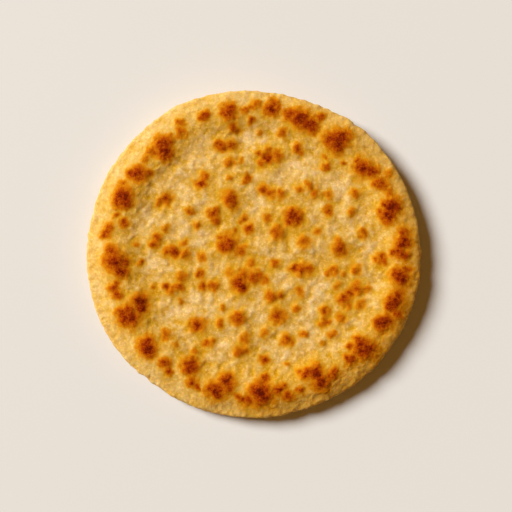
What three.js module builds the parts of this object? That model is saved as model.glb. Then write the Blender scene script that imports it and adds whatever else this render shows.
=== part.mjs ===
// A round, thick flatbread, patted out by hand and baked in one piece on a griddle.
//
// The dough is one solid: a flat underside, a side that curls out to a belly and rolls over
// into a raised rim, and a slightly sunken, lumpy middle. Nothing is hollow and nothing is
// added to it, so the model holds one mesh.
//
// Units are millimetres and +Z is up. The origin is on the flat underside, at the middle of
// the outline's bounding box, with the longest way across close to +X.

import * as THREE from "three";
import { ImprovedNoise } from "three/addons/math/ImprovedNoise.js";

// Outline, seen from above
const LONG_DIAMETER = 204.6; // the widest way across
const SHORT_DIAMETER = 199.2; // square to the widest way
const LONG_AXIS_TURN = THREE.MathUtils.degToRad(-10); // from +X to the widest way, anticlockwise

// Section, from the outer edge inwards and from the table upwards
const RIM_HEIGHT = 16.6; // table to the crest of the rim
const BELLY_HEIGHT = 7.4; // table to the widest point of the side
const UNDERCUT = 9; // outer edge in to where the underside lies flat
const RIM_INSET = 17; // outer edge in to the crest of the rim
const HOLLOW_INSET = 32; // outer edge in to where the middle levels out
const HOLLOW_DEPTH = 2.2; // crest of the rim down to the middle
const MIDDLE_RISE = 0.7; // how far the middle domes up again at the centre
const CREST_SHIFT = new THREE.Vector2(3.6, 2.4); // the crest leans off the outline's middle

// Unevenness left by patting and baking
const EDGE_BULGES = [
  // how many round the edge, how far each stands out, where one of them is (degrees from +X)
  { count: 3, height: 0.38, at: 117 },
  { count: 4, height: 0.39, at: 26 },
  { count: 5, height: 0.41, at: 46 },
  { count: 7, height: 0.18, at: 1 },
  { count: 11, height: 0.15, at: 20 },
];
const SWELLS = [
  // broad waves and smaller lumps of the top: how long each is, and how high
  { size: 46, height: 0.9 },
  { size: 19, height: 0.7 },
];

// Mesh fineness
const SEGMENTS_ROUND = 96;
const CURL_STEPS = 5; // underside to belly
const ROLL_STEPS = 9; // belly to crest
const SLOPE_STEPS = 5; // crest to middle
const MIDDLE_STEPS = 9; // middle to centre

const MEAN_RADIUS = (LONG_DIAMETER + SHORT_DIAMETER) / 4;
const MIDDLE_HEIGHT = RIM_HEIGHT - HOLLOW_DEPTH;

const noise = new ImprovedNoise();

// Points of a curve, without its first point, which the curve before it ends on.
function pointsAfterStart(curve, steps) {
  return curve.getPoints(steps).slice(1);
}

// Half of the bread's section, from the centre of the underside round to the centre of the top.
function sectionPoints() {
  const flatEnd = MEAN_RADIUS - UNDERCUT;
  const crest = MEAN_RADIUS - RIM_INSET;
  const hollow = MEAN_RADIUS - HOLLOW_INSET;
  const slopeHandle = (crest - hollow) / 2;

  const curl = new THREE.EllipseCurve(
    flatEnd, BELLY_HEIGHT, UNDERCUT, BELLY_HEIGHT, -Math.PI / 2, 0,
  );
  const roll = new THREE.EllipseCurve(
    crest, BELLY_HEIGHT, RIM_INSET, RIM_HEIGHT - BELLY_HEIGHT, 0, Math.PI / 2,
  );
  const slope = new THREE.CubicBezierCurve(
    new THREE.Vector2(crest, RIM_HEIGHT),
    new THREE.Vector2(crest - slopeHandle, RIM_HEIGHT),
    new THREE.Vector2(hollow + slopeHandle, MIDDLE_HEIGHT),
    new THREE.Vector2(hollow, MIDDLE_HEIGHT),
  );
  const middle = new THREE.QuadraticBezierCurve(
    new THREE.Vector2(hollow, MIDDLE_HEIGHT),
    new THREE.Vector2(hollow / 2, MIDDLE_HEIGHT + MIDDLE_RISE),
    new THREE.Vector2(0, MIDDLE_HEIGHT + MIDDLE_RISE),
  );
  return [
    new THREE.Vector2(0, 0),
    new THREE.Vector2(flatEnd, 0),
    ...pointsAfterStart(curl, CURL_STEPS),
    ...pointsAfterStart(roll, ROLL_STEPS),
    ...pointsAfterStart(slope, SLOPE_STEPS),
    ...pointsAfterStart(middle, MIDDLE_STEPS),
  ];
}

// How far the outer edge is from the centre in one direction: an ellipse with low bulges.
function edgeRadius(angle) {
  const a = LONG_DIAMETER / 2;
  const b = SHORT_DIAMETER / 2;
  const turned = angle - LONG_AXIS_TURN;
  const ellipse = (a * b) / Math.hypot(b * Math.cos(turned), a * Math.sin(turned));
  return EDGE_BULGES.reduce(
    (radius, bulge) =>
      radius + bulge.height * Math.cos(bulge.count * (angle - THREE.MathUtils.degToRad(bulge.at))),
    ellipse,
  );
}

// How far the baked top stands above or below its smooth section at one place.
function swell(x, y) {
  return SWELLS.reduce(
    (height, wave) => height + wave.height * noise.noise(x / wave.size, y / wave.size, wave.size),
    0,
  );
}

// The turned section, pushed out to the uneven edge. Above the belly it leans by the crest's
// shift, and rises and falls with the swells of the top.
function doughGeometry() {
  const geometry = new THREE.LatheGeometry(sectionPoints(), SEGMENTS_ROUND);
  geometry.rotateX(Math.PI / 2);

  const place = geometry.getAttribute("position");
  for (let i = 0; i < place.count; i++) {
    const stretch = edgeRadius(Math.atan2(place.getY(i), place.getX(i))) / MEAN_RADIUS;
    const z = place.getZ(i);
    const share = THREE.MathUtils.smoothstep(z, BELLY_HEIGHT, MIDDLE_HEIGHT);
    const x = place.getX(i) * stretch + share * CREST_SHIFT.x;
    const y = place.getY(i) * stretch + share * CREST_SHIFT.y;
    place.setXYZ(i, x, y, z + share * swell(x, y));
  }

  geometry.computeBoundingBox();
  const centre = geometry.boundingBox.getCenter(new THREE.Vector3());
  geometry.translate(-centre.x, -centre.y, 0);
  geometry.computeVertexNormals();
  return geometry;
}

const crust = new THREE.MeshStandardMaterial({ color: 0xe2b866, roughness: 0.85, metalness: 0 });

const flatbread = new THREE.Mesh(doughGeometry(), crust);
flatbread.name = "flatbread";

const bread = new THREE.Group();
bread.add(flatbread);

export default bread;
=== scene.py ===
# %% [markdown]
# # A round griddle flatbread
#
# The object is one piece of baked dough: about 20 cm across and 17 mm thick, with a rolled
# rim, a slightly sunken, lumpy middle and toasted blisters all over. The lesson takes the
# plain solid of the part, draws a fine new skin over it, raises the blisters and lumps, and
# then browns it with one procedural crust. Every size is in millimetres or taken from the
# solid itself.

# %% Load the frame
import math
import random

import bpy
import numpy as np
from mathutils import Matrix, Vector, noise


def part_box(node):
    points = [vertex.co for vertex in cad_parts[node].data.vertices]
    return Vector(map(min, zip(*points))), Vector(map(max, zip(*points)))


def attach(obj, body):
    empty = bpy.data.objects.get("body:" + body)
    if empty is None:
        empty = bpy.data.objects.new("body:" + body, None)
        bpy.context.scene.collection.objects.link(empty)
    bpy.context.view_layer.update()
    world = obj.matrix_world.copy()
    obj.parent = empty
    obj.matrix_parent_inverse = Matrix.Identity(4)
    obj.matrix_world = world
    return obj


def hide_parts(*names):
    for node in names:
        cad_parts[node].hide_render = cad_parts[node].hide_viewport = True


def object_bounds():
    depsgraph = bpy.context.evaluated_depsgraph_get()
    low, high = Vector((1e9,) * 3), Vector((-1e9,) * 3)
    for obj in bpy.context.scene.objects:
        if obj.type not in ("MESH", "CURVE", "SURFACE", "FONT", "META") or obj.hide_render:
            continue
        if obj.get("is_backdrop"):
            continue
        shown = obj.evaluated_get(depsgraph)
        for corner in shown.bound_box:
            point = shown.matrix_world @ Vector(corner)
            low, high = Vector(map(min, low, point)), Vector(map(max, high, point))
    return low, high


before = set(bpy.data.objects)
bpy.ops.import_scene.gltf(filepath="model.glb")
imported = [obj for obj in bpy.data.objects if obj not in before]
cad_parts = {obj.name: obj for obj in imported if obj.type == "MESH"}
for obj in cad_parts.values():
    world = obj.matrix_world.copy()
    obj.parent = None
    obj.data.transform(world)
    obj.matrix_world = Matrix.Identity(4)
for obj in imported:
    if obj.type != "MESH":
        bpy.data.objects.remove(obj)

cad_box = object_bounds()
MM = 0.001  # Blender works in metres here, and bread is measured in millimetres

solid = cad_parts["flatbread"]
low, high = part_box("flatbread")
print("the solid measures", [round(side / MM, 1) for side in (high - low)], "mm")

# %% [markdown]
# ## Tools used all along
#
# Blender's operators work on whatever is selected, and loading the frame leaves it selected.
# So the lesson starts with a helper that selects one piece alone. The others add a modifier
# and apply it at once, paint a vertex group for a modifier to follow, and count what a piece
# is made of.


# %% Selecting, applying, painting and counting
LEAST_WEIGHT = 0.001  # points with less than this are left out of a group


def select_only(piece):
    bpy.ops.object.select_all(action="DESELECT")
    piece.select_set(True)
    bpy.context.view_layer.objects.active = piece


def apply_modifier(piece, kind, **settings):
    """Adds one modifier with its settings and applies it at once."""
    select_only(piece)
    modifier = piece.modifiers.new(kind.title(), kind)
    for name, value in settings.items():
        setattr(modifier, name, value)
    bpy.ops.object.modifier_apply(modifier=modifier.name)


def add_group(piece, name, weights):
    """Paints a vertex group with one weight, from 0 to 1, for each point."""
    group = piece.vertex_groups.new(name=name)
    for index in np.flatnonzero(weights > LEAST_WEIGHT):
        group.add([int(index)], float(weights[index]), "REPLACE")
    return group.name


def count(piece):
    mesh = piece.data
    triangles = sum(len(face.vertices) - 2 for face in mesh.polygons)
    return f"{len(mesh.vertices)} points, {triangles} triangles"


print("the solid has", count(solid))


# %% [markdown]
# ## The mould
#
# The solid is faceted, which is right for physics and wrong for the eye. A copy of it, with
# its loose triangles merged and paired into quads, becomes smooth with two levels of
# subdivision. Nothing of this copy is kept: it only serves as a mould that the fine skin is
# laid on, and the solid itself is never touched.

# %% A smooth copy of the solid
SAME_POINT = 0.001 * MM  # corners of two triangles this close are one point

select_only(solid)
bpy.ops.object.duplicate()
mould = bpy.context.active_object
mould.name = "mould"
bpy.ops.object.mode_set(mode="EDIT")
bpy.ops.mesh.select_all(action="SELECT")
bpy.ops.mesh.remove_doubles(threshold=SAME_POINT)
bpy.ops.mesh.tris_convert_to_quads(face_threshold=math.pi, shape_threshold=math.pi)
bpy.ops.object.mode_set(mode="OBJECT")
apply_modifier(mould, "SUBSURF", levels=2, render_levels=2)
print("the mould has", count(mould))

# %% [markdown]
# ## The skin
#
# Baked dough has fine lumps everywhere on top, so the skin needs small, even faces there.
# Subdividing the solid would crowd them at its centre. Instead a ring of points is drawn at
# the shoulder of the bread. Extruding it outwards and down makes the side, and a grid fill
# closes the top with even squares. The underside rests on the table and is nearly flat, so
# a ring with half as many points closes it with a coarser grid.

# %% Rings down the side, from the shoulder to the underside
POINTS_ROUND = 960  # on the top and the side, about 0.65 mm apart
SIDE_RINGS = 20
SIDE_DEPTH = 11 * MM  # outer edge in to the shoulder
SHOULDER_TURN = math.radians(62)  # how far up the side's curve the shoulder lies
UNDERSIDE_STEP = 2 * MM  # from the last fine ring in to the coarser one

outer = (high.x - low.x + high.y - low.y) / 4
middle_height = (high.z + low.z) / 2


def ring_place(turn):
    """Radius and height of a ring at an angle above the widest part of the side."""
    return outer - SIDE_DEPTH * (1 - math.cos(turn)), middle_height * (1 + math.sin(turn))


ring_radius, ring_height = ring_place(SHOULDER_TURN)
bpy.ops.object.select_all(action="DESELECT")
bpy.ops.mesh.primitive_circle_add(
    vertices=POINTS_ROUND, radius=ring_radius, fill_type="NOTHING", location=(0, 0, ring_height)
)
bread = bpy.context.active_object
bread.name = "griddle_flatbread"
bpy.ops.object.transform_apply(location=True, rotation=True, scale=True)

bpy.ops.object.mode_set(mode="EDIT")
bpy.ops.mesh.select_all(action="SELECT")
for step in range(1, SIDE_RINGS + 1):
    turn = SHOULDER_TURN - (SHOULDER_TURN + math.pi / 2) * step / SIDE_RINGS
    wider, lower = ring_place(turn)
    bpy.ops.mesh.extrude_edges_move(TRANSFORM_OT_translate={"value": (0, 0, lower - ring_height)})
    grow = wider / ring_radius
    bpy.ops.transform.resize(value=(grow, grow, 1), center_override=(0, 0, lower))
    ring_radius, ring_height = wider, lower
bpy.ops.object.mode_set(mode="OBJECT")
print("the side has", SIDE_RINGS, "rings;", count(bread))

# %% Close the top with an even grid, and the underside with a coarser one
SAME_HEIGHT = 0.01 * MM  # points this close in height count as level


def select_open_ring(piece, height):
    """In edit mode, selects the open edges that lie at this height."""
    bpy.ops.mesh.select_mode(type="EDGE")
    bpy.ops.mesh.select_all(action="DESELECT")
    bpy.ops.mesh.select_non_manifold(extend=False)
    bpy.ops.object.mode_set(mode="OBJECT")
    points = piece.data.vertices
    for edge in piece.data.edges:
        near = all(abs(points[i].co.z - height) < SAME_HEIGHT for i in edge.vertices)
        edge.select = edge.select and near
    bpy.ops.object.mode_set(mode="EDIT")


bpy.ops.object.mode_set(mode="EDIT")
select_open_ring(bread, ring_place(SHOULDER_TURN)[1])
bpy.ops.mesh.fill_grid(span=POINTS_ROUND // 4)

bpy.ops.mesh.primitive_circle_add(
    vertices=POINTS_ROUND // 2, radius=ring_radius - UNDERSIDE_STEP, location=(0, 0, ring_height)
)
select_open_ring(bread, ring_height)  # the last fine ring and the coarser one inside it
bpy.ops.mesh.bridge_edge_loops()
select_open_ring(bread, ring_height)  # the coarser one, which alone is still open
bpy.ops.mesh.fill_grid(span=POINTS_ROUND // 8)
bpy.ops.mesh.select_all(action="SELECT")
bpy.ops.mesh.normals_make_consistent(inside=False)
bpy.ops.object.mode_set(mode="OBJECT")
print("closed, the skin has", count(bread))

# %% [markdown]
# ## Laying the skin on the mould
#
# The rings so far make a plain round cake. A shrinkwrap pulls each point to the nearest
# place on the mould, which brings the uneven outline, the curled edge, the rim and the
# broad swells of the top. A few rounds of smoothing then even out the spacing where the
# grid's corners meet the ring.

# %% Shrinkwrap and relax
SMOOTHING_ROUNDS = 12

apply_modifier(bread, "SHRINKWRAP", target=mould, wrap_method="NEAREST_SURFACEPOINT")
apply_modifier(bread, "SMOOTH", factor=0.5, iterations=SMOOTHING_ROUNDS)
bpy.data.objects.remove(mould)
print("the skin now has", count(bread))
select_only(bread)
bpy.ops.object.shade_smooth()


def places(piece):
    """The piece's points as an array of millimetres, one row for each."""
    flat = np.empty(len(piece.data.vertices) * 3)
    piece.data.vertices.foreach_get("co", flat)
    return flat.reshape(-1, 3) / MM


skin = places(bread)
print("the skin spans", (skin.max(0) - skin.min(0)).round(1), "mm")

# %% [markdown]
# ## Knowing where a point lies on the bread
#
# The rim, the middle and the side each have their own character. Two measures tell them
# apart: how high a point lies, and how far inside the outline, seen from above. The outline
# is read from the skin itself, as the largest radius found in each direction.

# %% Distance inside the outline, and easing
DIRECTIONS = 360  # the outline is measured every degree


def from_outline(points):
    """How far each point lies inside the outline, seen from above, in millimetres."""
    radii = np.hypot(points[:, 0], points[:, 1])
    slots = np.floor((np.arctan2(points[:, 1], points[:, 0]) / math.tau % 1) * DIRECTIONS)
    slots = slots.astype(int) % DIRECTIONS
    edge = np.zeros(DIRECTIONS)
    np.maximum.at(edge, slots, radii)
    return edge[slots] - radii


def ease(value, start, end):
    """0 before start and 1 after end, turning smoothly between them."""
    share = np.clip((value - start) / (end - start), 0, 1)
    return share * share * (3 - 2 * share)


print("the skin's middle lies", from_outline(skin).max().round(1), "mm inside the outline")

# %% [markdown]
# ## A firmer shoulder
#
# The solid rounds its edge in one soft curve, which is all that resting and rolling need.
# Baked dough dries into a firmer shoulder: the rim slopes down gently and then drops off.
# So the points just inside the outline are lifted straight up, most at the outline itself
# and hardly at all a few millimetres in. A few rounds of smoothing take the sharp corner
# off. The outline and the height stay as they were.

# %% Lift the shoulder
BELLY = 7.5  # height of the widest part of the side, mm
SHOULDER_LIFT = 2.6  # mm, at the outline
SHOULDER_FADE = 2.2  # mm inside the outline, where a third of the lift is left
ROUNDINGS = 10  # rounds of smoothing

lift = np.exp(-from_outline(skin) / SHOULDER_FADE) * ease(skin[:, 2], BELLY, BELLY + 2)
shoulder = add_group(bread, "shoulder", lift)
apply_modifier(
    bread, "DISPLACE", vertex_group=shoulder, direction="Z", mid_level=0,
    strength=SHOULDER_LIFT * MM,
)
apply_modifier(bread, "SMOOTH", vertex_group=shoulder, factor=0.5, iterations=ROUNDINGS)
skin = places(bread)
print("the shoulder went up by up to", (SHOULDER_LIFT * lift.max()).round(1), "mm")

# %% [markdown]
# ## The parts of the bread
#
# Four soft masks say what each point belongs to: the middle, the rim, the side and the
# underside. They run from 0 to 1 and fade into each other, so no later step has a hard
# edge. The side's mask stops short of the foot, because the bread has to rest flat.

# %% Middle, rim, side and underside
TOP_STARTS = (BELLY - 2, BELLY + 4)  # the top fades in between these heights, mm
RIM_ENDS = (14, 30)  # the rim fades into the middle between these, mm inside the outline
SIDE_ENDS = (2, 9)  # the side fades into the rim, likewise
FOOT = (0.5, 2.5)  # the side fades in between these heights, so that the bread rests flat
UNDERSIDE_ENDS = (0.5, 4)  # and the underside fades out between these

inside = from_outline(skin)
height = skin[:, 2]
on_top = ease(height, *TOP_STARTS)
in_middle = on_top * ease(inside, *RIM_ENDS)
on_rim = on_top * (1 - ease(inside, *RIM_ENDS))
on_side = ease(height, *FOOT) * (1 - ease(inside, *SIDE_ENDS))
underneath = 1 - ease(height, *UNDERSIDE_ENDS)
print("points on the rim and in the middle:", [int((part > 0.5).sum()) for part in (on_rim, in_middle)])

# %% [markdown]
# ## Where the griddle toasted it
#
# Air bubbles lift the dough into blisters, and a blister touches the hot iron first, so it is both a
# small mound and a brown spot. They are listed one by one, as a baker would recognise them: a ring of
# large dark ones along the rim and smaller, lighter ones scattered over the middle. Long or lobed ones
# are a few round ones that run together.
# Each is one row: where it lies (x, y), how wide its brown heart is, and how dark it got,
# from 1 for straw to 10 for the darkest brown.

# %% The blisters of the rim, clockwise from the upper left
RIM_BLISTERS = [
    (-55, 67, 8, 9), (-53.5, 63, 7.5, 10), (-60.5, 62.5, 5, 7.5), (-50, 69.5, 5, 7),
    (-44, 74.5, 4.5, 7), (-44.5, 80, 5, 6), (-31.5, 82, 3.5, 7), (-28, 84.5, 4.5, 8),
    (-14.5, 86.5, 7.5, 9.5), (-18.5, 85, 3.5, 7), (-12, 89, 4.5, 8), (-4.5, 87.5, 3.5, 7),
    (-1.5, 89, 3, 6), (3, 91, 5, 5.5), (11, 88, 6.5, 9.5), (13, 91.5, 4.5, 8),
    (15.5, 88.5, 3.5, 6.5), (22, 84.5, 5.5, 8.5), (27.5, 81.5, 8.5, 10), (32.5, 78, 6.5, 9),
    (35.5, 75.5, 5, 8), (36, 79.5, 5, 8), (40, 82.5, 4, 7.5), (51.5, 69.5, 9.5, 9.5),
    (46.5, 70.5, 6.5, 8.5), (51.5, 65.5, 6.5, 9), (55.5, 70.5, 6, 8.5), (66, 52.5, 7.5, 10),
    (71.5, 50.5, 6, 9), (62.5, 56.5, 4, 7.5), (76.5, 43, 5.5, 8), (73.5, 42.5, 4, 6),
    (82.5, 37.5, 4.5, 5.5), (82, 49.5, 4, 4.5), (83.5, 28, 8, 10), (81.5, 23.5, 7.5, 10),
    (80, 30.5, 3.5, 8), (87, 30, 4, 7.5), (77, 25.5, 3, 7), (90.5, 9, 7, 10),
    (90, 13, 5, 8.5), (87.5, 2, 5.5, 9), (91, -0.5, 4.5, 8.5), (84.5, 1, 3.5, 7.5),
    (89.5, -15, 7.5, 9.5), (86.5, -10.5, 6, 9), (91.5, -8, 3.5, 7), (85, -28, 7.5, 9.5),
    (82, -32, 4.5, 8), (87.5, -24, 4.5, 8.5), (87, -35.5, 5, 7), (79.5, -39, 6, 9),
    (77, -42, 6, 9.5), (65, -54, 6.5, 9.5), (69, -56.5, 7.5, 9.5), (65, -58, 5.5, 8.5),
    (62, -50.5, 3.5, 7), (58, -56, 3.5, 8), (59.5, -63, 5, 8), (56.5, -62, 3.5, 7.5),
    (49, -70, 4, 8.5), (46, -73, 4, 6.5), (37.5, -72, 7.5, 10), (40.5, -76.5, 7, 9),
    (32.5, -71.5, 6, 9), (28.5, -70.5, 3, 6.5), (28, -81.5, 3, 7.5), (20.5, -84.5, 4.5, 8.5),
    (15, -81, 4.5, 8.5), (19, -78.5, 3, 7), (5.5, -83.5, 10.5, 10), (4.5, -83, 5, 10), (2, -82, 7, 9.5),
    (-2, -87, 5, 8), (-6, -86.5, 3, 6.5), (-10, -85, 3, 7.5), (7.5, -74, 3.5, 8),
    (7, -76.5, 3, 7), (-16.5, -76, 7.5, 9.5), (-14.5, -80.5, 4.5, 8), (-22, -82, 8.5, 9.5),
    (-25.5, -80.5, 4.5, 8), (-38, -68.5, 8, 9.5), (-37, -77, 5, 8), (-33, -80, 3, 7.5),
    (-53.5, -64.5, 5, 8), (-50.5, -70, 3.5, 8), (-63.5, -54.5, 8, 9.5), (-62, -58, 6.5, 9),
    (-63, -50.5, 5, 8), (-74, -36.5, 10.5, 9.5), (-68, -28, 7.5, 9.5), (-66.5, -32.5, 6.5, 9),
    (-78.5, -34, 5, 8), (-82, -24, 4.5, 8), (-84, -19.5, 5, 8.5), (-82, -17, 3, 7.5),
    (-82.5, -4.5, 10, 9.5), (-85, 2, 6.5, 8.5), (-79, -10, 6.5, 9), (-77, -4, 5, 7.5),
    (-86.5, 16.5, 5, 8), (-89, 13.5, 5, 8), (-78, 21, 4, 8), (-82, 24, 3, 7),
    (-78, 35, 9.5, 9.5), (-81.5, 31.5, 5, 8.5), (-76, 30.5, 5, 8.5), (-78, 43, 4, 5.5),
    (-69.5, 49.5, 7.5, 9.5), (-73.5, 48, 4.5, 8.5), (-63, 50, 4, 7), (-65, 57, 4.5, 5),
]

# %% The blisters of the middle, from the top down
MIDDLE_BLISTERS = [
    (-1, 82, 3, 7), (-12.5, 76.5, 4, 8.5), (-9.5, 75.5, 2.5, 7), (4.5, 74, 3, 4.5),
    (18, 74, 4.5, 6), (-20.5, 67, 4, 7.5), (-18.5, 64.5, 4.5, 7.5), (-13, 66.5, 5, 7),
    (26.5, 64.5, 4, 8), (29, 62, 3, 6), (8.5, 58, 5, 10), (4.5, 56, 3.5, 7),
    (3.5, 61.5, 3, 6), (10, 62, 5, 5.5), (15, 59.5, 5.5, 6), (-14.5, 55.5, 5, 6),
    (-7, 56.5, 3, 4.5), (54.5, 55.5, 2.5, 7), (45, 53.5, 3.5, 7.5), (43.5, 59, 3, 5),
    (-29, 48, 4, 6), (-2.5, 46.5, 3.5, 7.5), (-4, 44, 3, 6), (-13.5, 46, 3, 5),
    (-31, 43, 5, 9.5), (33.5, 41.5, 4, 5.5), (28.5, 39.5, 3.5, 6), (6, 38.5, 4.5, 7.5),
    (9.5, 37, 4, 7), (17, 37, 4, 6), (37, 37.5, 4.5, 7), (45.5, 36.5, 5, 5),
    (61.5, 37, 4.5, 6), (-14, 34.5, 7, 8), (-12, 30.5, 5, 7), (-52.5, 34.5, 5.5, 8),
    (-56, 33, 3.5, 7.5), (23.5, 27, 4.5, 6), (-38.5, 26, 3.5, 6), (46, 26, 4.5, 7.5),
    (59, 25.5, 5, 4.5), (-24.5, 25, 4.5, 8), (-22.5, 21.5, 3.5, 7.5), (9, 23, 4, 6),
    (23.5, 22, 8, 8.5), (21.5, 20.5, 4, 8.5), (28, 22, 4.5, 7.5), (-5.5, 21.5, 3, 6.5),
    (-7.5, 19.5, 2, 6), (-33.5, 17.5, 3, 6), (-2.5, 16.5, 4.5, 8), (-53.5, 15.5, 3.5, 5),
    (-10.5, 15, 2.5, 6), (39.5, 14.5, 3.5, 5), (14.5, 13.5, 7, 6), (12.5, 14.5, 3, 6),
    (66.5, 14, 4, 6), (-58, 10.5, 5, 7.5), (-60, 7, 4, 6.5), (-19.5, 10.5, 3, 7),
    (31, 9, 6, 6), (51.5, 8, 5, 6), (-41.5, 7.5, 3.5, 5), (-13.5, 6, 8, 9),
    (-18.5, 4, 5, 8), (-8, 3, 5.5, 6.5), (52.5, 3.5, 6, 9.5), (-71, 6, 2.5, 5),
    (-48, 2.5, 5, 9), (-52, 2.5, 3.5, 7), (-42, 0, 5, 6), (78, -1, 3.5, 8),
    (78.5, -4, 4, 7), (74, -2.5, 3, 7), (-31.5, -1.5, 4, 5.5), (-68.5, -5, 3.5, 6),
    (12.5, -5, 4, 7), (-1, -6, 4, 6), (-14, -11, 4.5, 4.5), (24.5, -8, 3.5, 8),
    (29, -9, 4.5, 8.5), (33, -8, 5, 7.5), (36, -8.5, 3, 6.5), (49, -9, 4.5, 6),
    (44.5, -11.5, 3, 5), (62, -10, 5.5, 6), (54.5, -12, 3, 4.5), (-33, -12, 3.5, 8.5),
    (-5, -12.5, 6, 6.5), (4, -12.5, 4, 7.5), (0, -15, 6, 7.5), (8, -15, 4.5, 6),
    (-43.5, -13, 5, 6), (-8.5, -18, 7, 9.5), (-5.5, -20.5, 4.5, 9), (-30, -18, 4, 7.5),
    (-24, -18.5, 4.5, 7), (-22.5, -20.5, 3, 6), (62, -18.5, 5, 6), (50.5, -19, 3.5, 4.5),
    (-44.5, -18.5, 4.5, 7), (-52, -19.5, 3, 8), (-49, -20.5, 4.5, 6), (-60.5, -19.5, 2.5, 5.5),
    (69.5, -20, 4, 5), (63, -21.5, 5, 6), (28, -21.5, 4.5, 6), (58, -23, 4.5, 8),
    (54.5, -26, 5.5, 8), (11, -25.5, 4.5, 8), (17, -25, 3.5, 7), (-43.5, -28, 3.5, 4.5),
    (58, -30.5, 4.5, 5), (65, -30.5, 4.5, 5), (-18, -31.5, 3, 5), (26, -32, 3, 6.5),
    (43, -35, 4, 7.5), (14.5, -37, 6.5, 8.5), (-8.5, -38, 6, 8), (53, -38, 5, 5),
    (45, -40.5, 4, 7), (40.5, -42, 3.5, 5.5), (-33.5, -43, 6.5, 9), (-19.5, -42, 3.5, 6.5),
    (7.5, -47, 4.5, 5), (30.5, -47.5, 3.5, 5.5), (-53, -48, 5, 5.5), (47.5, -48.5, 4, 6),
    (20.5, -50.5, 5, 7.5), (24, -53, 3, 5), (-6, -50.5, 5.5, 5.5), (-24, -52, 4, 5),
    (-28.5, -53.5, 3.5, 8), (42.5, -53.5, 3, 4.5), (-46.5, -54.5, 3.5, 4), (-9, -59, 5, 6.5),
    (-4.5, -58, 3.5, 6), (-35.5, -58.5, 3, 5), (7, -63.5, 4, 8), (20.5, -66, 3, 4),
]
print(len(RIM_BLISTERS), "on the rim and", len(MIDDLE_BLISTERS), "in the middle")

# %% [markdown]
# ## From a list of blisters to toast and height
#
# Heat fades outwards from the heart of a blister, so its browning is a soft hill: full at
# the heart, orange a few millimetres out and gone soon after. Where two hills meet, the
# darker one wins and the other adds a little. The mound under a stain is about as wide,
# and a quarter as high as it is wide. Both are worked out for each point of the skin. A
# blister is never truly round, so the points are moved about a little by smooth noise
# before they are measured.

# %% Work out the toast and the mounds
HEART_SPREAD = 0.56  # reach of the dark heart, as a share of the blister's width
HALO_SPREAD = 0.71  # reach of the golden halo, likewise
HALO_MORE = 1.2  # and this much more round a blister of any size, mm
WARMTH_SPREAD = 1.5  # reach of the faint warmth round it, as a share of the width
HEART_SHARE = 0.6  # how much of the browning is in the heart
FULL_BROWNING = 0.09  # toast for each step of browning
STAIN_MERGE = 4  # how sharply the darker of two stains wins
MOUND_SPREAD = 0.9  # reach of the mound, as a share of the width
MOUND_HEIGHT = 0.24  # height of the mound, likewise
MOUND_MERGE = 4  # how sharply the higher of two mounds wins
WANDER = [(6.0, 1.7), (2.4, 1.1)]  # outlines wander this often, and this far, mm
FIRST_LAYER = 3  # of the noise, chosen for the shapes it gives


def wandered(flat):
    """Places (x, y) moved about smoothly, so that a round blister gets an uneven outline."""
    moved = flat.copy()
    for size, reach in WANDER:
        for axis in (0, 1):
            layer = FIRST_LAYER + 10 * axis  # far apart, so the two ways don't wander alike
            moved[:, axis] += [reach * noise.noise((x, y, layer)) for x, y in flat / size]
    return moved


def hills(points, blisters):
    """Toast (0 to 1), mound height (mm) and faint warmth (0 to 1) at each point."""
    stains = np.zeros(len(points))
    mounds = np.zeros(len(points))
    cool = np.ones(len(points))
    rows = np.array(blisters)
    for centre, (across, browning) in zip(wandered(rows[:, :2]), rows[:, 2:]):
        square = ((points - centre) ** 2).sum(1)  # of the way to the centre
        heart = HEART_SHARE * np.exp(-square / (HEART_SPREAD * across) ** 2)
        halo = (1 - HEART_SHARE) * np.exp(-square / (HALO_SPREAD * across + HALO_MORE) ** 2)
        stains += (FULL_BROWNING * browning * (heart + halo)) ** STAIN_MERGE
        rise = MOUND_HEIGHT * across * np.exp(-square / (MOUND_SPREAD * across) ** 2)
        mounds += rise ** MOUND_MERGE
        cool *= 1 - FULL_BROWNING * browning * np.exp(-square / (WARMTH_SPREAD * across) ** 2)
    return np.minimum(stains ** (1 / STAIN_MERGE), 1), mounds ** (1 / MOUND_MERGE), 1 - cool


uneven = wandered(skin[:, :2])
toast, mounds, warmth = hills(uneven, RIM_BLISTERS + MIDDLE_BLISTERS)
toast *= on_top
mounds *= on_top
usual_warmth = warmth[in_middle > 0.5].mean()
print("highest mound", mounds.max().round(2), "mm; well toasted share of the top",
      (toast[on_top > 0.5] > 0.4).mean().round(2), "; usual warmth", usual_warmth.round(2))

# %% [markdown]
# ## The rest of the toasting
#
# Three more things colour a flatbread. The rim on the side away from the lamp, called the hot side
# here, gets a golden wash of toast, which is painted shade. The lower edge curls off the iron and takes
# a golden ring. And the underside, which lay on the iron first, is marked all over by round scorches of
# every size. Nobody sees those until the bread is picked up, so they are scattered by seeded chance
# instead of being placed by hand.

# %% Paint shade on the rim away from the lamp, ring the edge and mark the underside
# The hot side faces away from the lamp, and the wash there is painted shade on the rim.
HOT_SHADED_SIDE = math.radians(-35)  # direction of the hotter side, anticlockwise from +X
SHADE_WASH = 0.15  # toast of the rim on that side
SHADE_WASH_ENDS = (10, 19)  # the wash fades out between these, mm inside the outline
EDGE_RING = 0.2  # toast of the ring low on the side
RING_HEIGHTS = (1.5, 6)  # it fades out upwards between these, mm
RING_ENDS = (6, 14)  # and inwards between these
MARKS = 90  # scorches on the underside
MARKED_RADIUS = 93  # mm
MARK_SIZES = (4, 14)  # mm across
MARK_BROWNING = (4, 9)  # of each, as in the lists above

# Strongest on the side away from the lamp, where the rim's toast is painted shade.
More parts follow.
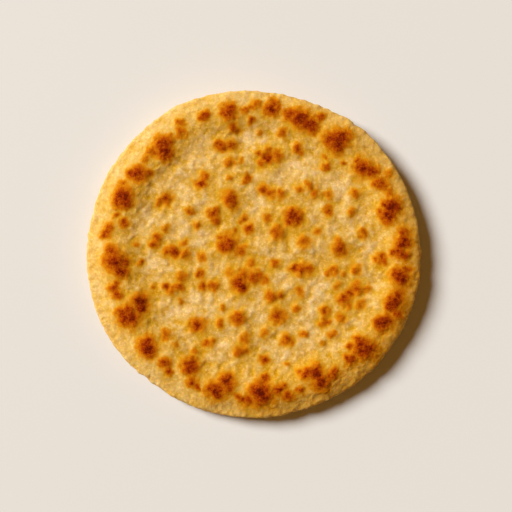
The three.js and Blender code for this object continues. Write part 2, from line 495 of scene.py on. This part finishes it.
hot_shaded_side = (0.5 + 0.5 * np.cos(np.arctan2(skin[:, 1], skin[:, 0]) - HOT_SHADED_SIDE)) ** 2
shade_wash = SHADE_WASH * hot_shaded_side * on_top * (1 - ease(inside, *SHADE_WASH_ENDS))
ring = EDGE_RING * (1 - ease(height, *RING_HEIGHTS)) * (1 - ease(inside, *RING_ENDS))

chance = random.Random(7)  # any seed would do
marks = []
for _ in range(MARKS):
    reach = MARKED_RADIUS * math.sqrt(chance.random())
    angle = math.tau * chance.random()
    middle = (reach * math.cos(angle), reach * math.sin(angle))
    marks.append((*middle, chance.uniform(*MARK_SIZES), chance.uniform(*MARK_BROWNING)))
scorches = hills(uneven, marks)[0] * underneath

toast = 1 - (1 - toast) * (1 - shade_wash) * (1 - ring) * (1 - scorches)
print("toast of the rim's wash up to", shade_wash.max().round(2), "and underneath", scorches.mean().round(3))

# %% [markdown]
# ## Raising the mounds
#
# A displace modifier moves points along their normals. A vertex group says how far each one
# goes, so the mounds are painted into a group first: full weight is the tallest mound.

# %% Raise the mounds
tallest = mounds.max()
blistered = add_group(bread, "blistered", mounds / tallest)
apply_modifier(bread, "DISPLACE", vertex_group=blistered, mid_level=0, strength=tallest * MM)
print("with its blisters the bread is", places(bread)[:, 2].max().round(1), "mm high")

# %% [markdown]
# ## Lumps, dimples and a ragged edge
#
# Hand-patted dough is never flat. Cloud textures of several sizes push the skin in and out:
# fingertip-sized swells, lumps of a few millimetres and a fine crumble in the middle, a
# ripple on the side that shows in the outline, and on the rim a crackle, where the outer
# skin dried and split while the dough under it was still rising.

# %% Push the skin in and out
CRACKLE_ENDS = (9, 16)  # the crackle fades out between these, mm inside the outline
COOL_CRACKLE = 0.35  # crackle on the cool side, as a share of that on the hot side

outer_rim = on_top * (1 - ease(inside, *CRACKLE_ENDS))
crackled = outer_rim * (COOL_CRACKLE + (1 - COOL_CRACKLE) * hot_shaded_side)
RELIEF = [
    # name, noise, how wide (mm), how deep from lowest to highest (mm), where
    ("edge_ripple", "BLENDER_ORIGINAL", 6.5, 1.6, on_side),
    ("edge_nicks", "BLENDER_ORIGINAL", 2.6, 0.7, on_side),
    ("fingertip_dents", "BLENDER_ORIGINAL", 9.0, 1.9, in_middle + 0.35 * on_rim),
    ("lumps", "BLENDER_ORIGINAL", 3.6, 1.1, in_middle + 0.6 * on_rim),
    ("crumble", "BLENDER_ORIGINAL", 1.7, 0.5, 0.9 * in_middle + 0.9 * on_rim + 0.2 * on_side),
    ("crackle", "VORONOI_F2_F1", 2.2, 0.25, crackled),
]
FINE_FROM = "lumps"  # from here on the relief also shows in the colour of the dough

for name, basis, size, depth, where in RELIEF:
    if name == FINE_FROM:
        coarse = places(bread)
    texture = bpy.data.textures.new(name, "CLOUDS")
    texture.noise_basis = basis
    texture.noise_scale = size * MM
    texture.noise_depth = 1
    apply_modifier(
        bread, "DISPLACE", vertex_group=add_group(bread, name, np.clip(where, 0, 1)),
        texture=texture, texture_coords="LOCAL", mid_level=0.5, strength=depth * MM,
    )
relief = (places(bread) - coarse)[:, 2]
print("the fine relief spans", relief.min().round(2), "to", relief.max().round(2), "mm")

# %% [markdown]
# ## Notes on the skin for the crust
#
# The crust's colour depends on three things that the skin knows best: how toasted a point is, how much
# flour and painted shade it has, and how far it lies inside the outline. Flour stays on what stands
# high and burns off near a blister, and the hollows between the lumps are painted darker and more
# golden, as shade. The three are kept on the points as attributes, which a material can read and which
# move with the mesh.


# %% Keep toast, flour with painted shade, and place on the skin
def set_attribute(piece, name, values):
    attribute = piece.data.attributes.new(name, "FLOAT", "POINT")
    attribute.data.foreach_set("value", values.astype(np.float32))


INSIDE_ENOUGH = 60  # mm; further in than this makes no difference
# Relief also paints the colour: lighter on the lumps, darker and more golden in the hollows, as painted
# shade.
FLOUR_AND_SHADE_PER_RELIEF = 0.9  # flour for each mm of relief, 0 being the usual amount
FLOUR_BURNT = 0.65  # flour lost at full warmth

flour_and_hollow_shade = FLOUR_AND_SHADE_PER_RELIEF * relief - FLOUR_BURNT * (warmth - usual_warmth) * in_middle
bread.vertex_groups.clear()
set_attribute(bread, "toast", toast)
set_attribute(bread, "flour_and_hollow_shade", flour_and_hollow_shade)
set_attribute(bread, "inside", np.clip(inside, 0, INSIDE_ENOUGH))
print("flour spans", flour_and_hollow_shade.min().round(2), "to", flour_and_hollow_shade.max().round(2))

# %% [markdown]
# ## The crust
#
# Bread is a rough, slightly waxy starch surface that was only toasted, never coated. Most of its colour
# comes from heat: cream where the dough was floury, straw and gold where it dried, orange and red brown
# round a blister and dark brown at its heart. Painted shade, in the hollows and on the rim away from
# the lamp, and painted glints in the specks are mixed in too. So the crust is one material that turns
# the skin's toast into colour through a colour ramp. Noise of a few sizes breaks the edge of each
# stain, and a fine grain gives the crumb.


# %% Colours and nodes
def linear(hex_colour):
    """An sRGB colour such as "E8CE85" as the linear RGBA that Blender works in."""
    channels = [int(hex_colour[i:i + 2], 16) / 255 for i in (0, 2, 4)]
    straight = [c / 12.92 if c <= 0.04045 else ((c + 0.055) / 1.055) ** 2.4 for c in channels]
    return (*straight, 1.0)


def add_node(tree, kind, inputs=None, **settings):
    """Adds one node with its settings. Its inputs, by name or number, get values or links."""
    node = tree.nodes.new(kind)
    for name, value in settings.items():
        setattr(node, name, value)
    for name, value in (inputs or {}).items():
        if isinstance(value, bpy.types.NodeSocket):
            tree.links.new(value, node.inputs[name])
        else:
            node.inputs[name].default_value = value
    return node


def per_metre(millimetres):
    """The scale of a noise whose patches are this wide, for coordinates in metres."""
    return 1 / (millimetres * MM)


crust = bpy.data.materials.new("griddled_wheat_crust")
crust.use_nodes = True
tree = crust.node_tree
tree.nodes.clear()
print("noise 2 mm wide has a scale of", per_metre(2))

# %% What the crust reads, and its noises
here = add_node(tree, "ShaderNodeTexCoord").outputs["Object"]
toast_here = add_node(tree, "ShaderNodeAttribute", attribute_name="toast").outputs["Fac"]
flour_and_shade_here = add_node(tree, "ShaderNodeAttribute", attribute_name="flour_and_hollow_shade").outputs["Fac"]
inside_here = add_node(tree, "ShaderNodeAttribute", attribute_name="inside").outputs["Fac"]

NOISES = {
    # name: how wide (mm), how many finer layers it has, how strong those are
    "clouds": (11.0, 2, 0.5),
    "patches": (4.0, 3, 0.5),
    "flecks": (2.2, 2, 0.6),
    "grain": (0.9, 1, 0.5),
    "specks_and_glints": (1.4, 1, 0.6),
    "crumb": (0.6, 2, 0.6),
}
read = {}
for name, (size, layers, strength) in NOISES.items():
    noise_node = add_node(
        tree, "ShaderNodeTexNoise",
        {"Vector": here, "Scale": per_metre(size), "Detail": layers, "Roughness": strength},
    )
    read[name] = add_node(
        tree, "ShaderNodeMath", {0: noise_node.outputs["Fac"], 1: 0.5}, operation="SUBTRACT",
    ).outputs[0]  # about -0.3 to 0.3, and 0 on average
print("noises:", list(read))

# %% [markdown]
# ## Floury dough and golden dough
#
# Away from the blisters the dough runs from a deep oily gold to a pale flour cream, within a few
# millimetres. A single number says which: it starts halfway, rises with the flour and painted shade on
# the skin, paler on the lumps and darker in the hollows, and wanders with the noises. On the rim it
# changes less and lies closer to cream, as the rim is smoother. Specks a millimetre or so wide, partly
# flour and partly painted glints, then stand out light against the pores between them, without changing
# the hue much.

# %% The colour of the dough
DOUGH = [(0.0, "CC8F10"), (0.25, "D79F26"), (0.5, "DDAA48"), (0.75, "E5BA6A"), (1.0, "EDC787")]
# The flour attribute also carries painted shade: darker, more golden hollows between the lumps.
DUSTING_AND_SHADE = [(read["patches"], 0.6), (read["clouds"], 0.7), (read["grain"], 0.2), (flour_and_shade_here, 1.0)]
RIM_DOUGH = (18.0, 7.0)  # mm inside the outline, where the rim's dough starts and is reached
RIM_STRETCH = 0.75  # how much of the change is left on the rim
RIM_LEVEL = 0.68  # and what it is centred on
# The specks are partly flour and partly painted glints: small bright points added to the dough's
# colour.
SPECK_AND_GLINT_COLOUR = "FFDA86"  # added where a speck of flour lies, and taken away in a pore
SPECK_AND_GLINT_NOISE = (-0.02, 0.3)  # a pore lies below the first, the top of a speck is at the second
SPECK_AND_GLINT_LIGHT = (-0.03, 0.21)  # how much of the colour is added at these two

dusted_and_shaded = 0.5
for source, strength in DUSTING_AND_SHADE:
    dusted_and_shaded = add_node(
        tree, "ShaderNodeMath", {0: source, 1: strength, 2: dusted_and_shaded}, operation="MULTIPLY_ADD",
    ).outputs[0]
to_rim = add_node(
    tree, "ShaderNodeMapRange",
    {"Value": inside_here, "From Min": RIM_DOUGH[0], "From Max": RIM_DOUGH[1]},
    interpolation_type="SMOOTHSTEP",
).outputs["Result"]
rim_dusted_and_shaded = add_node(
    tree, "ShaderNodeMath", {0: dusted_and_shaded, 1: RIM_STRETCH, 2: RIM_LEVEL - RIM_STRETCH / 2},
    operation="MULTIPLY_ADD",
).outputs[0]
dusted_and_shaded = add_node(
    tree, "ShaderNodeMix", {"Factor": to_rim, "A": dusted_and_shaded, "B": rim_dusted_and_shaded},
).outputs["Result"]
dough = add_node(tree, "ShaderNodeValToRGB", {"Fac": dusted_and_shaded})
# Painted glints and flour specks: bright points added to the colour, dark pores taken away.
speck_and_glint = add_node(
    tree, "ShaderNodeMapRange",
    {
        "Value": read["specks_and_glints"], "From Min": SPECK_AND_GLINT_NOISE[0], "From Max": SPECK_AND_GLINT_NOISE[1],
        "To Min": SPECK_AND_GLINT_LIGHT[0], "To Max": SPECK_AND_GLINT_LIGHT[1],
    },
).outputs["Result"]
speckled_and_glinted = add_node(
    tree, "ShaderNodeMix",
    {"Factor": speck_and_glint, "A": dough.outputs["Color"], "B": linear(SPECK_AND_GLINT_COLOUR)},
    data_type="RGBA", blend_type="ADD", clamp_factor=False, clamp_result=True,
)
print("dough:", len(DOUGH), "colours")

# %% [markdown]
# ## Toast
#
# Heat turns gold to orange, orange to red brown and at last to a dark brown. The skin's
# toast picks the colour, after the flecks have torn the edge of each stain and the grain
# has speckled its heart. Where there is hardly any toast the dough shows through.

# %% The colour of the toast
TOAST = [
    (0.0, "E4B030"), (0.12, "E09F1C"), (0.24, "D78A0D"), (0.38, "C97206"), (0.52, "BB5B02"),
    (0.64, "AB4601"), (0.76, "973301"), (0.88, "812401"), (1.0, "681703"),
]
TEARING = [(read["flecks"], 1.3), (read["grain"], 0.7)]
TOAST_SHOWS = (0.0, 0.25)  # toast at which it starts to hide the dough, and hides it all

torn = 1.0
for source, strength in TEARING:
    torn = add_node(
        tree, "ShaderNodeMath", {0: source, 1: strength, 2: torn}, operation="MULTIPLY_ADD",
    ).outputs[0]
browned = add_node(
    tree, "ShaderNodeMath", {0: toast_here, 1: torn}, operation="MULTIPLY", use_clamp=True,
).outputs[0]
toasted = add_node(tree, "ShaderNodeValToRGB", {"Fac": browned})
shows = add_node(
    tree, "ShaderNodeMapRange",
    {"Value": browned, "From Min": TOAST_SHOWS[0], "From Max": TOAST_SHOWS[1]},
    interpolation_type="SMOOTHSTEP",
).outputs["Result"]

for ramp, stops in ((dough, DOUGH), (toasted, TOAST)):
    colours = ramp.color_ramp.elements
    while len(colours) < len(stops):
        colours.new(1.0)
    for stop, (position, hex_colour) in zip(colours, stops):
        stop.position = position
        stop.color = linear(hex_colour)
print("toast:", len(TOAST), "colours")

# %% [markdown]
# ## The surface
#
# Starch is dull: a high roughness and hardly any gloss, and the small glints are painted into the
# colour as bright specks instead. Light sinks a few millimetres into the crumb and comes out warmer, so
# some of it is scattered below the surface, red furthest. The finest crumb, under a millimetre, is too
# small for the mesh and is left to a bump.

# %% Griddled wheat crust
CRUST_ROUGHNESS = 0.7
CRUST_GLOSS = 0.02  # far below the usual 0.5, because flour dulls it
SCATTER = 0.45  # share of the light that goes through the crumb
SCATTER_DEPTH = 3 * MM
SCATTER_COLOURS = (1.0, 0.45, 0.12)  # how far red, green and blue go
CRUMB_DEPTH = 0.6 * MM

colour = add_node(
    tree, "ShaderNodeMix",
    {"Factor": shows, "A": speckled_and_glinted.outputs["Result"], "B": toasted.outputs["Color"]},
    data_type="RGBA",
)
crumb = add_node(
    tree, "ShaderNodeBump", {"Height": read["crumb"], "Distance": CRUMB_DEPTH, "Strength": 1.0},
)
surface = add_node(
    tree, "ShaderNodeBsdfPrincipled",
    {
        "Base Color": colour.outputs["Result"], "Roughness": CRUST_ROUGHNESS,
        "Specular IOR Level": CRUST_GLOSS, "Subsurface Weight": SCATTER,
        "Subsurface Radius": SCATTER_COLOURS, "Subsurface Scale": SCATTER_DEPTH,
        "Normal": crumb.outputs["Normal"],
    },
)
add_node(tree, "ShaderNodeOutputMaterial", {"Surface": surface.outputs["BSDF"]})
bread.data.materials.clear()
bread.data.materials.append(crust)
print("the crust has", len(tree.nodes), "nodes")

# %% [markdown]
# ## The table
#
# The bread lies on a plain, warm white table, so large that its edge is as far off as a
# horizon. It is part of the studio and not of the object, so it is staged.

# %% Floor
FLOOR_SIZE = 12.0  # metres
FLOOR_ROUGHNESS = 0.6
FLOOR_COLOUR = "E0DBD4"  # a warm off-white

bpy.ops.object.select_all(action="DESELECT")
bpy.ops.mesh.primitive_plane_add(size=FLOOR_SIZE, location=(0, 0, low.z))
floor = bpy.context.active_object
floor.name = "floor"
table = bpy.data.materials.new("warm_white_table")
table.use_nodes = True
paint = table.node_tree.nodes["Principled BSDF"]
paint.inputs["Base Color"].default_value = linear(FLOOR_COLOUR)
paint.inputs["Roughness"].default_value = FLOOR_ROUGHNESS
floor.data.materials.append(table)
floor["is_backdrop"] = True
print("the floor lies at", round(low.z / MM, 2), "mm")

# %% [markdown]
# ## Light and camera
#
# One large soft lamp stands low to the upper left, as a window would, and shows every lump
# by its shadow. It is a sun with a wide disc, so the floor is evenly lit from edge to edge.
# A weak warm glow from all round fills the shadows, but the camera itself sees a pale
# backdrop beyond the table. It looks straight down from far enough that the bread hardly
# leans, with a long lens.

# %% Light
LAMP_TURN = math.radians(150)  # from +X, anticlockwise
LAMP_HEIGHT = math.radians(41)  # above the table
LAMP_DISC = math.radians(25)  # how wide the lamp looks from the bread
LAMP_STRENGTH = 4.72
LAMP_COLOUR = "F7FCFF"  # a touch cooler than white, against the warm glow
GLOW = (0.165, 0.083, 0.018, 1)  # linear, a room lit through honey-coloured curtains
BACKDROP = "E6DDD2"  # what the camera sees beyond the table, as pale as the lit table

lamp_data = bpy.data.lights.new("window", "SUN")
lamp_data.angle = LAMP_DISC
lamp_data.energy = LAMP_STRENGTH
lamp_data.color = linear(LAMP_COLOUR)[:3]
lamp = bpy.data.objects.new("window", lamp_data)
towards_lamp = (
    math.cos(LAMP_HEIGHT) * math.cos(LAMP_TURN),
    math.cos(LAMP_HEIGHT) * math.sin(LAMP_TURN),
    math.sin(LAMP_HEIGHT),
)
lamp.location = towards_lamp
lamp.rotation_euler = lamp.location.to_track_quat("Z", "Y").to_euler()
bpy.context.scene.collection.objects.link(lamp)

world = bpy.data.worlds.new("studio")
bpy.context.scene.world = world
world.use_nodes = True
air = world.node_tree
seen = add_node(air, "ShaderNodeLightPath").outputs["Is Camera Ray"]
around = add_node(
    air, "ShaderNodeMix", {"Factor": seen, "A": GLOW, "B": linear(BACKDROP)}, data_type="RGBA",
)
air.links.new(around.outputs["Result"], air.nodes["Background"].inputs["Color"])
bpy.context.scene.view_settings.view_transform = "Standard"
print("the lamp shines from", [round(side, 2) for side in towards_lamp])

# %% Camera
CAMERA_HEIGHT = 0.75  # metres above the table
CAMERA_ASIDE = (0.0018, -0.0007)  # metres; the bread lies a little off the middle of the view
VIEW_ACROSS = 0.3125  # metres seen from side to side at the bread's belly
SENSOR = 36.0  # mm

camera_data = bpy.data.cameras.new("camera")
camera_data.sensor_width = SENSOR
camera_data.lens = SENSOR * (CAMERA_HEIGHT - BELLY * MM) / VIEW_ACROSS
camera = bpy.data.objects.new("camera", camera_data)
camera.location = (*CAMERA_ASIDE, CAMERA_HEIGHT)
bpy.context.scene.collection.objects.link(camera)
bpy.context.scene.camera = camera
print("lens:", round(camera_data.lens), "mm")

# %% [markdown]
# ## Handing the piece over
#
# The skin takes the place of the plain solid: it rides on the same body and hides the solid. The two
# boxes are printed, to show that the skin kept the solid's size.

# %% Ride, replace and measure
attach(bread, "root")
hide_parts("flatbread")

boxes = {"cad": cad_box, "visual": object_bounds()}
sizes = {name: [list(corner) for corner in box] for name, box in boxes.items()}
for name, (lowest, highest) in sizes.items():
    print(name, "box:", [round((b - a) / MM, 1) for a, b in zip(lowest, highest)], "mm")
